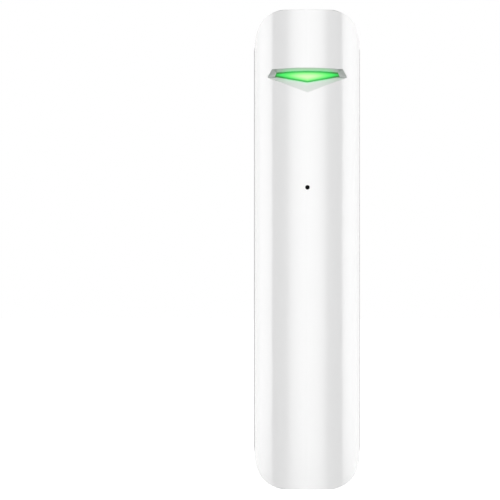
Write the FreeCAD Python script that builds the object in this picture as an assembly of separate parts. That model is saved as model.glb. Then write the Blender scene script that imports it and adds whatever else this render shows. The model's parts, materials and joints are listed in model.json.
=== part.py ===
import FreeCAD, Part

import functools
import math
import os

# A wireless glass break sensor: a narrow case that hooks onto a wall bracket, as it hangs on a wall.
#
# Frame: +Y points at the wall and +Z up, so the front of the case faces -Y. The origin is the middle
# point between the two wall screw holes, in the plane of the wall.
#
# The case is modelled upright from its bottom end (height 0), and everything is lowered at the end
# so that the screw holes' middle point comes to height 0. All sizes are in millimetres.

V = FreeCAD.Vector

# The battery, a standard lithium cell of 17 x 34.5 mm, sets the section and half the length of the case.
CELL_RADIUS = 8.3
CELL_LENGTH = 34.5
CELL_NUB_RADIUS = 3.2
CELL_NUB_HEIGHT = 1.1
CELL_EDGE = 0.5
CELL_CRIMP = 0.35
CELL_CRIMP_DROP = 2.2
CELL_FLOOR = 6.5
CELL_SIDE_ROOM = 1.2
CELL_DEPTH_ROOM = 0.25

# The case: a half-ellipse nose on short straight sides, with a shallow rear cover behind the seam.
# Both ends are straight at the front and slope in towards the rounded back.
WALL = 1.1
REAR_DEPTH = 4.95
SIDE_FLAT = 2.8
REAR_CORNER = 4.0
END_CORNER = 6.0
SLOPE_DEPTH = 12.8
SLOPE_DROP = 3.0
SLOPE_BEND = 8.0
STANDOFF = 0.15

# The seam between the covers runs along the sides and sweeps forward over both ends.
# The front cover is a step narrower than the rear one on each side.
SEAM_BEND = 7.0
SEAM_STEP = 0.1
SEAM_SLOPE = 0.303
SEAM_EXIT = 1.75
SEAM_GAP = 0.2
SEAM_LAP_HALF = 4.5
SEAM_LAP = 2.3
TONGUE_THICK = 0.55
TONGUE_REACH = 1.2
TONGUE_ROOT = 1.4
BEAD_HEIGHT = 0.3
BEAD_WIDTH = 0.5
BEAD_LENGTH = 4.0

# Battery contacts and the bulkhead between the battery and the wire bay.
STRIP = 0.3
SPRING_HEIGHT = 1.3
SPRING_WIRE = 0.25
SPRING_RADIUS = 4.6
SPRING_TAPER = 0.5
SPRING_HALF_TURNS = 4
LEAF_GAP = 0.6
LEAF_HALF_DEPTH = 3.5
BUMP_RADIUS = 1.8
BUMP_TOP_RADIUS = 1.0
STRIP_WIDTH = 1.6
STRIP_X = 4.2
STRIP_LAP = 2.5
BULKHEAD = 1.4

# The wire bay and the channel that the wall bracket slides in, on the back of the rear cover.
BAY_WIDE_HEIGHT = 2.6
BAY_WIDE_HALF = 7.4
BAY_HEIGHT = 6.2
BAY_DEPTH = 3.4
HOOK_RIB = 0.9
HOOK_REACH = 2.3
CHANNEL_HALF = 6.75
CHANNEL_DEPTH = 2.1
CHANNEL_TOP_ROOM = 1.65
GROOVE_HALF = 4.0
GROOVE_DEPTH = 3.4
RELIEF_WIDTH = 1.8
RELIEF_HALF_HEIGHT = 2.4
CROWN = 3.3

# The lugs that hook over the bracket's teeth, and the slide that unhooks them.
SLIDE_TRAVEL = 5.0
LUG_THICK = 0.9
LOWER_LUG_HEIGHT = 3.9
LUG_SPACING = 20.6
LUG_ROOM = 0.15
LUG_INNER_HALF = 5.7
STOP_ROOM = 0.05

# The wall bracket.
BRACKET_HALF = 4.95
BRACKET_THICK = 1.4
BRACKET_EDGE = 0.95
BRACKET_UNDERCUT = 0.6
BRACKET_WEB = 0.7
BRACKET_LENGTH = 34.05
LEG_OVERHANG = 1.5
LEG_HEIGHT = 1.5
LEG_HALF_GAP = 3.5
EAR_HEIGHT = 1.3
SCREW_HOLE_RADIUS = 1.9
SCREW_SEAT_RADIUS = 2.9
SCREW_SEAT_FLOOR = 0.7
LOWER_HOLE_RISE = 7.7
SCREW_SPACING = 19.4
TAB_RISE = 23.1
PANEL_HALF = 4.3
PANEL_DEPTH = 0.6
TEAR_RISE = 3.25
TEAR_HEIGHT = 10.85
TEAR_HALF = 4.2
TEAR_SLIT = 0.65
TEAR_BRIDGE = 1.0
TEAR_RIM = 0.9
TEAR_FIELD_DEPTH = 0.3
COLLAR_WIDTH = 0.5
DOME_RADIUS = 8.5
DOME_RISE = 31.1
DOME_SLOPE = 0.27
DOME_STEP = 0.25

# The light window near the top of the nose, and the sound hole.
# The window is a low six-sided outline: a wide V below and a flat, slightly arched top.
WINDOW_DROP = 12.7
WINDOW_HALF = 7.58
WINDOW_TOP_HALF = 6.72
WINDOW_TOP_RISE = 1.6
WINDOW_ARCH = 0.2
WINDOW_TIP_FALL = 2.86
GLOW_HALF = 6.1
GLOW_RISE = 0.12
GLOW_TOP_HALF = 5.78
GLOW_TOP_RISE = 0.94
GLOW_ARCH = 0.23
GLOW_TIP_FALL = 0.95
WINDOW_RECESS = 1.1
BEVEL_PAST = 1.35
GUIDE_FLANGE = 0.8
GUIDE_FLANGE_LIP = 0.5
GUIDE_FIT = 0.05
STEM_HALF_WIDTH = 3.2
STEM_HALF_HEIGHT = 1.6
STEM_TAPER = 0.45
PAD_THICK = 1.2
PAD_LIP = 0.4
SOUND_HOLE_DROP = 33.35
SOUND_HOLE_RADIUS = 0.42

# The circuit board and the switches behind it.
BOARD_HALF = 7.7
BOARD_THICK = 1.0
BOARD_CORNER = 1.2
BOARD_GAP = 3.0
BOARD_END_ROOM = 0.3
POST_X = 5.6
POST_RADIUS = 1.9
SCREW_RADIUS = 0.85
SCREW_HEAD_RADIUS = 1.6
SCREW_HEAD = 1.1
SCREW_CROSS = 0.8
SCREW_CROSS_SLOT = 0.17
SCREW_CROSS_DEPTH = 0.65
SCREW_BITE = 1.9
SCREW_FIT = 0.06
LOWER_POST_RISE = 6.0
UPPER_POST_DROP = 3.0
TAMPER_RISE = 12.0
TAMPER_TRAVEL = 0.5
PLUNGER_WIDTH = 1.5
PLUNGER_HEIGHT = 2.2
PLUNGER_EDGE = 0.4
SHAFT_DEPTH = 1.6
SWITCH_SIZE = 4.6
SWITCH_FIT = 0.1
POWER_RISE = 19.0
POWER_TRAVEL = 0.4
POWER_RADIUS = 1.5
POWER_PROUD = 0.4
POWER_EDGE = 0.25
POWER_FLANGE = 0.5
POWER_FLANGE_LIP = 0.6
POWER_STEM_RADIUS = 0.8
POWER_BORE = 0.9

# The parts on the front of the board.
LAMP_WIDTH = 2.0
LAMP_TALL = 1.6
LAMP_HEIGHT = 0.8
LAMP_EDGE = 0.25
SHIELD_WIDTH = 9.6
SHIELD_TALL = 8.0
SHIELD_HEIGHT = 1.8
SHIELD_X = 1.0
SHIELD_CORNER = 0.6
SHIELD_EDGE = 0.3
CHIP_SIDE = 5.0
CHIP_THICK = 0.9
SMALL_CHIP_WIDTH = 2.0
SMALL_CHIP_TALL = 3.0
CRYSTAL_WIDTH = 2.5
CRYSTAL_TALL = 2.0
CRYSTAL_HEIGHT = 0.7
CAPACITOR_WIDTH = 1.6
CAPACITOR_SIDE = 0.8
CAPACITOR_PITCH = 1.7
CAPACITOR_COUNT = 4
ANTENNA_WIDTH = 1.4
ANTENNA_LENGTH = 10.4
ANTENNA_STAND = 3.2
ANTENNA_FEET = 3.0
PART_EDGE_ROOM = 0.7
PART_GAP = 0.6

# The two-wire terminal socket in the wire bay, with its black slit below it.
SOCKET_HALF = 2.3
SOCKET_HEIGHT = 3.5
SOCKET_SLIT = 0.65
SOCKET_SINK = 2.35
SOCKET_RIM = 0.65
SOCKET_TOP_RIM = 1.0
SOCKET_LOW_RIM = 0.35
SOCKET_MOUTH_DEPTH = 2.6
SOCKET_LEAD_IN = 0.3
CONTACT_SIDE = 0.55
CONTACT_PITCH = 1.1
CONTACT_LENGTH = 1.7
CONTACT_RISE = 1.0
CONTACT_TIP = 0.15

# The blank label low on the back, and the small marks on the sides.
LABEL_RISE = 10.0
LABEL_HEIGHT = 12.6
LABEL_HALF = 6.6
LABEL_SINK = 0.25
LABEL_THICK = 0.1
LABEL_CORNER = 0.6
MARK_DROP = 20.5
MARK_HEIGHT = 1.7
MARK_LINE = 0.25
MARK_BACK = 1.35
MARK_DEPTH = 0.15

# The microphone in its rubber boot behind the sound hole.
MIC_RADIUS = 3.0
MIC_HEIGHT = 2.6
MIC_PORT_RADIUS = 0.9
MIC_PORT_DEPTH = 0.3
MIC_SEAT = 0.9
BOOT_WALL = 0.7
BOSS_WALL = 0.8
MIC_LEAD_RADIUS = 0.25
MIC_LEAD_X = 1.27

# Fits between neighbouring pieces that stay still.
CLEAR = 0.1
LOOSE = 0.2

# How far a cutting block reaches past what it cuts.
PAST = 1.0

# Widths and depths of the case.
CASE_HALF = WALL + CELL_RADIUS + CELL_SIDE_ROOM / 2
CASE_DEPTH = 2 * WALL + 2 * CELL_RADIUS + CELL_DEPTH_ROOM
NOSE_DEPTH = CASE_DEPTH - REAR_DEPTH - SIDE_FLAT
REAR_Y = -STANDOFF
FRONT_Y = REAR_Y - CASE_DEPTH
SEAM_Y = REAR_Y - REAR_DEPTH
NOSE_Y = SEAM_Y - SIDE_FLAT
CELL_Y = REAR_Y - WALL - CLEAR - CELL_RADIUS
CHANNEL_Y = REAR_Y - CHANNEL_DEPTH
GROOVE_Y = REAR_Y - GROOVE_DEPTH
BAY_Y = REAR_Y - BAY_DEPTH
BOARD_Y = BAY_Y - WALL - BOARD_GAP
BOARD_FRONT_Y = BOARD_Y - BOARD_THICK
MIC_SEAT_Y = FRONT_Y + WALL + MIC_SEAT
MIC_Y = MIC_SEAT_Y + BOOT_WALL
SWITCH_Y = GROOVE_Y - WALL - LOOSE
POWER_BODY_Y = GROOVE_Y - WALL - POWER_FLANGE - POWER_TRAVEL - LOOSE - CLEAR
SOCKET_FACE_Y = REAR_Y - SOCKET_SINK
SOCKET_FLOOR_Y = SOCKET_FACE_Y - SOCKET_MOUTH_DEPTH

# Heights, from the bottom end of the case upwards.
CELL_BOTTOM = CELL_FLOOR
CELL_TOP = CELL_BOTTOM + CELL_LENGTH
PLATE_Z = CELL_BOTTOM - SPRING_HEIGHT
BULKHEAD_Z = CELL_TOP + LEAF_GAP + STRIP
BAY_Z = BULKHEAD_Z + BULKHEAD
LOWER_LUG_Z = BAY_Z + BAY_HEIGHT
LOWER_LUG_TOP = LOWER_LUG_Z + LOWER_LUG_HEIGHT
UPPER_LUG_Z = LOWER_LUG_Z + LUG_SPACING
UPPER_LUG_TOP = UPPER_LUG_Z + SLIDE_TRAVEL + LOOSE
BRACKET_Z = LOWER_LUG_Z + LEG_OVERHANG
BRACKET_TOP = BRACKET_Z + BRACKET_LENGTH
LOWER_HOLE_Z = BRACKET_Z + LOWER_HOLE_RISE
UPPER_HOLE_Z = LOWER_HOLE_Z + SCREW_SPACING
CHANNEL_TOP = BRACKET_TOP + CHANNEL_TOP_ROOM
CASE_LENGTH = CHANNEL_TOP + CROWN
ORIGIN_HEIGHT = (LOWER_HOLE_Z + UPPER_HOLE_Z) / 2
WINDOW_Z = CASE_LENGTH - WINDOW_DROP
SOUND_HOLE_Z = CASE_LENGTH - SOUND_HOLE_DROP
BOARD_BOTTOM = BAY_Z + BOARD_END_ROOM
BOARD_TOP = CASE_LENGTH - END_CORNER
TAMPER_Z = BRACKET_Z + TAMPER_RISE
POWER_Z = BRACKET_Z + POWER_RISE
SOCKET_Z = BAY_Z + SOCKET_SLIT
LOWER_POST_Z = BAY_Z + LOWER_POST_RISE
UPPER_POST_Z = BOARD_TOP - UPPER_POST_DROP
FAR = 60.0


def box(x0, x1, y0, y1, z0, z1):
    """A block between two corners."""
    return Part.makeBox(x1 - x0, y1 - y0, z1 - z0, V(x0, y0, z0))


def mirrored(shape):
    """The shape and its mirror image across the plane of symmetry, X = 0."""
    return [shape, shape.mirror(V(0, 0, 0), V(1, 0, 0))]


def rod_y(radius, y0, y1, x, z):
    """A round rod along Y."""
    return Part.makeCylinder(radius, y1 - y0, V(x, y0, z), V(0, 1, 0))


def rod_z(radius, z0, z1, x, y):
    """A round rod along Z."""
    return Part.makeCylinder(radius, z1 - z0, V(x, y, z0), V(0, 0, 1))


def prism_y(points, y0, y1):
    """A polygon of (x, z) points, extruded along Y."""
    corners = [V(x, y0, z) for x, z in points]
    face = Part.Face(Part.makePolygon(corners + corners[:1]))
    return face.extrude(V(0, y1 - y0, 0))


def ellipse_quarter(centre, first, second):
    """The quarter of an ellipse from centre + first to centre + second."""
    long_axis, short_axis = (first, second) if first.Length >= second.Length else (second, first)
    ellipse = Part.Ellipse(centre + long_axis, centre + short_axis, centre)
    return Part.Arc(ellipse, 0, math.pi / 2).toShape()


def closed_face(edges):
    """A face from edges that form one closed loop."""
    return Part.Face(Part.Wire(Part.__sortEdges__(edges)))


def line(start, end):
    """A straight edge."""
    return Part.makeLine(start, end)


def rounded(shape, radius, direction):
    """The shape with its edges along one direction rounded."""
    edges = [e for e in shape.Edges if is_along(e, direction)]
    return shape.makeFillet(radius, edges)


def is_along(edge, direction):
    """True for a straight edge that runs along the direction."""
    if not isinstance(edge.Curve, (Part.Line, Part.LineSegment)):
        return False
    return abs(abs(edge.tangentAt(edge.FirstParameter).dot(direction)) - 1) < 1e-6


# The case as one block: a rounded outline that slopes in towards the back, and the nose's section.


def end_outline(half, low, high, radius, y):
    """The rounded outline of the case seen from the front, as a wire at one depth."""
    near = radius * (1 - math.sqrt(0.5))
    left, right = -half + radius, half - radius
    bottom, top = low + radius, high - radius
    edges = [
        line(V(left, y, low), V(right, y, low)),
        Part.Arc(V(right, y, low), V(half - near, y, low + near), V(half, y, bottom)).toShape(),
        line(V(half, y, bottom), V(half, y, top)),
        Part.Arc(V(half, y, top), V(half - near, y, high - near), V(right, y, high)).toShape(),
        line(V(right, y, high), V(left, y, high)),
        Part.Arc(V(left, y, high), V(near - half, y, high - near), V(-half, y, top)).toShape(),
        line(V(-half, y, top), V(-half, y, bottom)),
        Part.Arc(V(-half, y, bottom), V(near - half, y, low + near), V(left, y, low)).toShape(),
    ]
    return Part.Wire(edges)


def edges_at(shape, y):
    """The edges that lie in one plane across the depth."""
    return [e for e in shape.Edges if all(abs(v.Y - y) < 1e-6 for v in e.Vertexes)
            and abs(e.CenterOfMass.y - y) < 1e-6]


def nose_section(inset, narrower=0):
    """The section seen from above: the half-ellipse nose and the straight sides behind it."""
    half = CASE_HALF - inset - narrower
    nose = V(0, NOSE_Y, 0)
    depth = V(0, -(NOSE_DEPTH - inset), 0)
    right, left = V(half, 0, 0), V(-half, 0, 0)
    rear = V(0, REAR_Y - NOSE_Y + 1, 0)
    edges = [
        ellipse_quarter(nose, depth, right),
        ellipse_quarter(nose, depth, left),
        line(nose + right, nose + right + rear),
        line(nose + right + rear, nose + left + rear),
        line(nose + left + rear, nose + left),
    ]
    return closed_face(edges).extrude(V(0, 0, CASE_LENGTH))


@functools.lru_cache(maxsize=None)
def body(inset):
    """The closed outer form of the case, drawn in by an even inset."""
    half, low, high = CASE_HALF - inset, inset, CASE_LENGTH - inset
    radius = END_CORNER - inset
    bend, rear = REAR_Y - SLOPE_DEPTH, REAR_Y - inset
    drop = SLOPE_DROP * (rear - bend) / SLOPE_DEPTH
    front_wire = end_outline(half, low, high, radius, FRONT_Y - 1)
    bend_wire = end_outline(half, low, high, radius, bend)
    rear_wire = end_outline(half, low + drop, high - drop, radius, rear)
    block = Part.makeLoft([front_wire, bend_wire], True, True)
    block = block.fuse(Part.makeLoft([bend_wire, rear_wire], True, True)).removeSplitter()
    if inset == 0:
        middle = CASE_LENGTH / 2
        ends = [e for e in edges_at(block, bend) if abs(e.CenterOfMass.z - middle) > CASE_LENGTH / 3]
        block = block.makeFillet(SLOPE_BEND, ends)
    block = block.makeFillet(REAR_CORNER - inset, edges_at(block, rear))
    return block.common(nose_section(inset))


def front_region(gap):
    """All that lies in front of the seam, less a gap: the seam sweeps forward over both ends."""
    seam_y, exit_y = SEAM_Y - gap, FRONT_Y + SEAM_EXIT
    ahead_y = FRONT_Y - 5
    lower = gap * math.sqrt(1 + SEAM_SLOPE ** 2)
    top_corner = CASE_LENGTH - (seam_y - exit_y) * SEAM_SLOPE - lower
    top_ahead = CASE_LENGTH + (exit_y - ahead_y) * SEAM_SLOPE - lower
    low_corner, low_ahead = CASE_LENGTH - top_corner, CASE_LENGTH - top_ahead
    corners = [V(-FAR / 2, seam_y, top_corner), V(-FAR / 2, ahead_y, top_ahead),
               V(-FAR / 2, ahead_y, low_ahead), V(-FAR / 2, seam_y, low_corner)]
    block = Part.Face(Part.makePolygon(corners + corners[:1])).extrude(V(FAR, 0, 0))
    turns = [e for e in block.Edges if is_along(e, V(1, 0, 0)) and e.CenterOfMass.y > seam_y - 1e-6]
    return block.makeFillet(SEAM_BEND, turns)


def end_laps(gap):
    """Where the rear cover's end walls keep their full thickness behind the front cover's rim."""
    return [box(-SEAM_LAP_HALF - gap, SEAM_LAP_HALF + gap, FRONT_Y + SEAM_LAP - gap, SEAM_Y, low, low + WALL)
            for low in (0, CASE_LENGTH - WALL)]


# The rear cover, with the bracket channel, the wire bay, the lugs and what carries the inner pieces.


def recess(grow):
    """The channel, the screw groove and the wire bay as one hollow, grown evenly for their walls."""
    out = 1.0
    channel = box(-CHANNEL_HALF - grow, CHANNEL_HALF + grow, CHANNEL_Y - grow, out,
                  BAY_Z - grow, CHANNEL_TOP + grow)
    groove = box(-GROOVE_HALF - grow, GROOVE_HALF + grow, GROOVE_Y - grow, out,
                 BAY_Z - grow, BRACKET_TOP - WALL + grow)
    bay = box(-CHANNEL_HALF - grow, CHANNEL_HALF + grow, BAY_Y - grow, out,
              BAY_Z - grow, BRACKET_Z + grow)
    wide = box(-BAY_WIDE_HALF - grow / 2, BAY_WIDE_HALF + grow / 2, BAY_Y - grow, out,
               BAY_Z - grow, BAY_Z + BAY_WIDE_HEIGHT + grow)
    return channel.fuse([groove, bay, wide])


def lugs():
    """Two pairs of lugs that reach over the channel's edges and hook behind the bracket's teeth."""
    found = []
    for low, high in ((LOWER_LUG_Z, LOWER_LUG_TOP), (UPPER_LUG_Z, UPPER_LUG_TOP)):
        lug = box(LUG_INNER_HALF, CHANNEL_HALF + WALL / 2, REAR_Y - LUG_THICK, 0, low, high)
        found += mirrored(lug)
    return found


def bulkhead():
    """The cross wall between the battery and the wire bay, slotted for the two contact strips."""
    wall = box(-CASE_HALF, CASE_HALF, CELL_Y - 2, REAR_Y - WALL / 2, BULKHEAD_Z, BAY_Z)
    wall = wall.common(body(WALL + TONGUE_THICK + LOOSE + CLEAR).fuse(
        box(-BOARD_HALF, BOARD_HALF, SEAM_Y, REAR_Y - WALL / 2, BULKHEAD_Z, BAY_Z)))
    slots = [
        box(side_x - LOOSE, side_x + STRIP_WIDTH + LOOSE, BOARD_FRONT_Y - STRIP - LOOSE - CLEAR,
            BOARD_FRONT_Y + CLEAR, BULKHEAD_Z - 1, BAY_Z + 1)
        for side_x in (STRIP_X, -STRIP_X - STRIP_WIDTH)
    ]
    return wall.cut(slots)


def contact_shelf():
    """The shelf in the bottom end that the negative contact stands on."""
    thick = PLATE_Z - STRIP - WALL
    shelf = box(-STRIP_X - STRIP_WIDTH, STRIP_X + STRIP_WIDTH, CELL_Y - SPRING_RADIUS, REAR_Y - WALL / 2,
                thick, PLATE_Z - STRIP)
    return shelf.common(body(WALL / 2))


def cradle_ribs():
    """Ribs in the rear cover that hold the battery, notched for the contact strip."""
    thick = 1.0
    found = []
    for height in (CELL_BOTTOM + CELL_LENGTH / 5, CELL_TOP - CELL_LENGTH / 5):
        rib = box(-BOARD_HALF, BOARD_HALF, SEAM_Y - LOOSE, REAR_Y - WALL / 2, height, height + thick)
        rib = rib.common(body(WALL / 2))
        rib = rib.cut(rod_z(CELL_RADIUS + CLEAR, height - 1, height + thick + 1, 0, CELL_Y))
        notch = box(STRIP_X - LOOSE, STRIP_X + STRIP_WIDTH + LOOSE, SEAM_Y - 1, REAR_Y - WALL,
                    height - 1, height + thick + 1)
        found.append(rib.cut(notch))
    return found


def board_posts():
    """Four posts that carry the circuit board: two are bored for screws."""
    places = [(x, CHANNEL_Y, UPPER_POST_Z) for x in (-POST_X, POST_X)]
    places += [(x, BAY_Y, LOWER_POST_Z) for x in (-POST_X, POST_X)]
    return [rod_y(POST_RADIUS, BOARD_Y, floor_y - WALL / 2, x, z) for x, floor_y, z in places]


def post_bores():
    """The blind screw bores in two of the posts."""
    return [
        rod_y(SCREW_RADIUS + SCREW_FIT, BOARD_Y - 1, BOARD_Y + SCREW_BITE + LOOSE, x, z)
        for x, z in screw_places()
    ]


def screw_places():
    """Where the two board screws stand: one high on the left, one low on the right."""
    return [(-POST_X, UPPER_POST_Z), (POST_X, LOWER_POST_Z)]


def wire_hook():
    """The L-shaped rib in the wire bay that a wire is laid round, clear of the bracket's teeth."""
    left, right = -CHANNEL_HALF - CLEAR, -CHANNEL_HALF + HOOK_REACH
    low, high = LOWER_LUG_Z - 1.0, BRACKET_Z + CLEAR
    top_y = CHANNEL_Y - LOOSE
    upright = box(right - HOOK_RIB, right, BAY_Y - CLEAR, top_y, low, high)
    ledge = box(left, right, BAY_Y - CLEAR, top_y, low, low + HOOK_RIB * 0.8)
    return upright.fuse(ledge)


def side_mark():
    """A small engraved arrowhead on the rounded side of the rear cover."""
    height = CASE_LENGTH - MARK_DROP
    half = MARK_HEIGHT / 2
    tip, open_end = REAR_Y - MARK_BACK - half / 2, REAR_Y - MARK_BACK + half / 2
    points = [
        V(0, tip, height),
        V(0, open_end, height + half),
        V(0, open_end + MARK_LINE, height + half),
        V(0, tip + 1.4 * MARK_LINE, height),
        V(0, open_end + MARK_LINE, height - half),
        V(0, open_end, height - half),
    ]
    stroke = Part.Face(Part.makePolygon(points + points[:1])).extrude(V(CASE_HALF + PAST, 0, 0))
    return stroke.cut(body(MARK_DEPTH))


def bead_places():
    """Heights at which the snap beads of the covers meet."""
    return [CELL_BOTTOM + 6, CELL_TOP - 8, UPPER_LUG_Z + 1]


def bead_grooves():
    """Grooves inside the rear cover's sides that the front cover's snap beads click into."""
    inner = CASE_HALF - WALL
    groove = [
        box(inner - CLEAR, inner - CLEAR + BEAD_HEIGHT + CLEAR, SEAM_Y + BEAD_WIDTH / 2 - CLEAR,
            SEAM_Y + BEAD_WIDTH * 1.5 + CLEAR, z - CLEAR, z + BEAD_LENGTH + CLEAR)
        for z in bead_places()
    ]
    return [half for g in groove for half in mirrored(g)]


def rear_cover():
    """The rear cover: a shallow tray whose ends wrap forward round the nose."""
    outer = body(0)
    shell = outer.cut(front_region(0)).cut(body(WALL))
    shell = shell.fuse([lap.common(outer).cut(body(WALL)) for lap in end_laps(0)])
    walls = recess(WALL).common(outer).cut(front_region(0))
    cover = shell.fuse([walls, bulkhead(), contact_shelf()] + cradle_ribs() + board_posts())
    cover = cover.cut(recess(0))
    cover = cover.fuse([lug.common(outer) for lug in lugs()] + [wire_hook()])
    tamper_slot = box(-PLUNGER_WIDTH / 2 - 2 * CLEAR, PLUNGER_WIDTH / 2 + 2 * CLEAR,
                      GROOVE_Y - WALL - 1, GROOVE_Y + 1,
                      LOWER_HOLE_Z - SCREW_HOLE_RADIUS, TAMPER_Z + PLUNGER_HEIGHT / 2 + 2 * CLEAR)
    relief = box(-GROOVE_HALF, -GROOVE_HALF + RELIEF_WIDTH, GROOVE_Y - WALL - CLEAR, GROOVE_Y + 1,
                 LOWER_HOLE_Z - RELIEF_HALF_HEIGHT, LOWER_HOLE_Z + RELIEF_HALF_HEIGHT)
    power_hole = rod_y(POWER_RADIUS + SWITCH_FIT, GROOVE_Y - WALL - 1, GROOVE_Y + 1, 0, POWER_Z)
    socket_hole = box(-SOCKET_HALF - CLEAR, SOCKET_HALF + CLEAR, BAY_Y - WALL - 1, BAY_Y + 1,
                      BAY_Z, SOCKET_Z + SOCKET_HEIGHT + CLEAR)
    label_bed = box(-LABEL_HALF - CLEAR, LABEL_HALF + CLEAR, REAR_Y - LABEL_SINK, 1,
                    LABEL_RISE - CLEAR, LABEL_RISE + LABEL_HEIGHT + CLEAR)
    cover = cover.cut([tamper_slot, power_hole, socket_hole, label_bed]
                      + post_bores() + bead_grooves() + mirrored(relief) + mirrored(side_mark()))
    return cover.removeSplitter()


# The front cover, with the light window, the sound hole and the ribs behind them.


def skin_y(x, inset):
    """The depth of the nose's surface, or of one drawn in by an inset, at a place across it."""
    half = CASE_HALF - inset
    return NOSE_Y - (NOSE_DEPTH - inset) * math.sqrt(1 - (x / half) ** 2)


def bevel_point(inner, outer):
    """A point on the line from the inner outline through the outer one, a little past the skin."""
    return inner + (outer - inner) * BEVEL_PAST


def window_section(x):
    """The cut through the light window's bevelled pocket at one place across the nose.

    The pocket's upper and lower bevels run from the outline on the skin to the glowing
    outline on the recessed face, and are drawn on a little past the skin.
    """
    share = x / GLOW_TOP_HALF
    inner_y, skin = skin_y(x, WINDOW_RECESS), skin_y(x, 0)
    inner_low = V(x, inner_y, WINDOW_Z - GLOW_TIP_FALL + (GLOW_TIP_FALL + GLOW_RISE) * x / GLOW_HALF)
    outer_low = V(x, skin, WINDOW_Z - WINDOW_TIP_FALL * (1 - x / WINDOW_HALF))
    inner_high = V(x, inner_y, WINDOW_Z + GLOW_TOP_RISE + GLOW_ARCH * (1 - share ** 2))
    arch = WINDOW_ARCH * (1 - (x / WINDOW_TOP_HALF) ** 2)
    outer_high = V(x, skin, WINDOW_Z + WINDOW_TOP_RISE + arch)
    return [inner_low, bevel_point(inner_low, outer_low), bevel_point(inner_high, outer_high), inner_high]


def flat_face(*corners):
    """A flat face between corners."""
    return Part.Face(Part.makePolygon(list(corners) + [corners[0]]))


def window_end():
    """The end facet of the light window's pocket, as a block that joins the last section."""
    low_in, low_out, high_out, high_in = window_section(GLOW_TOP_HALF)
    tip_in = V(GLOW_HALF, skin_y(GLOW_HALF, WINDOW_RECESS), WINDOW_Z + GLOW_RISE)
    tip_skin = V(WINDOW_HALF, skin_y(WINDOW_HALF, 0), WINDOW_Z)
    top_skin = V(WINDOW_TOP_HALF, skin_y(WINDOW_TOP_HALF, 0), WINDOW_Z + WINDOW_TOP_RISE)
    tip_out, top_out = bevel_point(tip_in, tip_skin), bevel_point(high_in, top_skin)
    faces = [
        flat_face(low_in, low_out, high_out, high_in),
        flat_face(low_in, low_out, tip_out), flat_face(low_in, tip_out, tip_in),
        flat_face(high_in, tip_in, tip_out), flat_face(high_in, tip_out, top_out),
        flat_face(high_in, top_out, high_out), flat_face(low_in, tip_in, high_in),
        flat_face(low_out, tip_out, top_out), flat_face(low_out, top_out, high_out),
    ]
    solid = Part.makeSolid(Part.makeShell(faces))
    if solid.Volume < 0:
        solid.reverse()
    return solid


def window_pocket():
    """The bevelled pocket round the light window: lofted sections for each half, and two end facets."""
    wires = []
    for k in range(6):
        section = window_section(GLOW_TOP_HALF * k / 5)
        wires.append(Part.makePolygon(section + section[:1]))
    return mirrored(Part.makeLoft(wires, True, False).fuse(window_end()))


def glow_prism(grow, y0, y1):
    """The glowing outline extruded along Y and grown evenly."""
    middle = GLOW_TOP_HALF / 2
    right = [
        (GLOW_HALF + grow, WINDOW_Z + GLOW_RISE - grow / 2),
        (GLOW_TOP_HALF + grow, WINDOW_Z + GLOW_TOP_RISE + grow),
        (middle, WINDOW_Z + GLOW_TOP_RISE + GLOW_ARCH * 0.75 + grow),
    ]
    left = [(-x, z) for x, z in reversed(right)]
    tip = (0, WINDOW_Z - GLOW_TIP_FALL - grow)
    peak = (0, WINDOW_Z + GLOW_TOP_RISE + GLOW_ARCH + grow)
    return prism_y([tip] + right + [peak] + left, y0, y1)


def pad_box(half, margin):
    """The space behind the light window, of one half width, that its pad and the guide's flange share."""
    return box(-half, half, FRONT_Y, NOSE_Y, WINDOW_Z - WINDOW_TIP_FALL - PAD_LIP + margin,
               WINDOW_Z + WINDOW_TOP_RISE + 2 * PAD_LIP - margin)


def tongues():
    """Tongues along the sides that reach inside the rear cover, with their snap beads."""
    outer_x = CASE_HALF - WALL - CLEAR
    inner_x = outer_x - TONGUE_THICK
    beads = bead_places()
    spans = ((beads[0] - 2, beads[1] + BEAD_LENGTH + 1),
             (LOWER_LUG_TOP + 1, UPPER_LUG_TOP + 1))
    found = []
    for low, high in spans:
        root_y = SEAM_Y - SEAM_GAP - TONGUE_ROOT
        blade = box(inner_x, outer_x, root_y, SEAM_Y + TONGUE_REACH, low, high)
        root = box(inner_x, CASE_HALF - WALL / 2, root_y, SEAM_Y - SEAM_GAP, low, high)
        found += mirrored(blade.fuse(root))
    for z in beads:
        bead = box(outer_x - CLEAR, outer_x + BEAD_HEIGHT, SEAM_Y + BEAD_WIDTH / 2,
                   SEAM_Y + BEAD_WIDTH * 1.5, z, z + BEAD_LENGTH)
        found += mirrored(bead)
    return found


def mic_boss():
    """The ring behind the sound hole that the microphone's boot is pressed into."""
    radius = MIC_RADIUS + BOOT_WALL + BOSS_WALL
    ring = rod_y(radius, FRONT_Y + WALL / 2, MIC_SEAT_Y + MIC_HEIGHT, 0, SOUND_HOLE_Z)
    return ring.common(body(WALL / 2))


def front_cover():
    """The glossy front cover: the nose, cut back over both ends along the seam."""
    outer = body(0).common(nose_section(0, SEAM_STEP)).common(front_region(SEAM_GAP))
    shell = outer.cut(body(WALL)).cut(end_laps(SEAM_GAP))
    pad = body(WALL / 2).cut(body(WALL + PAD_THICK)).common(pad_box(WINDOW_HALF, 0))
    cover = shell.fuse(pad).fuse(mic_boss()).fuse(tongues())
    cover = cover.cut(window_pocket())
    seat = rod_y(MIC_RADIUS + BOOT_WALL + GUIDE_FIT, MIC_SEAT_Y, 0, 0, SOUND_HOLE_Z)
    sound_hole = rod_y(SOUND_HOLE_RADIUS, FRONT_Y - 1, MIC_SEAT_Y + PAST, 0, SOUND_HOLE_Z)
    cover = cover.cut([glow_prism(0, FRONT_Y - 1, NOSE_Y), seat, sound_hole])
    return cover.removeSplitter()


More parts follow.
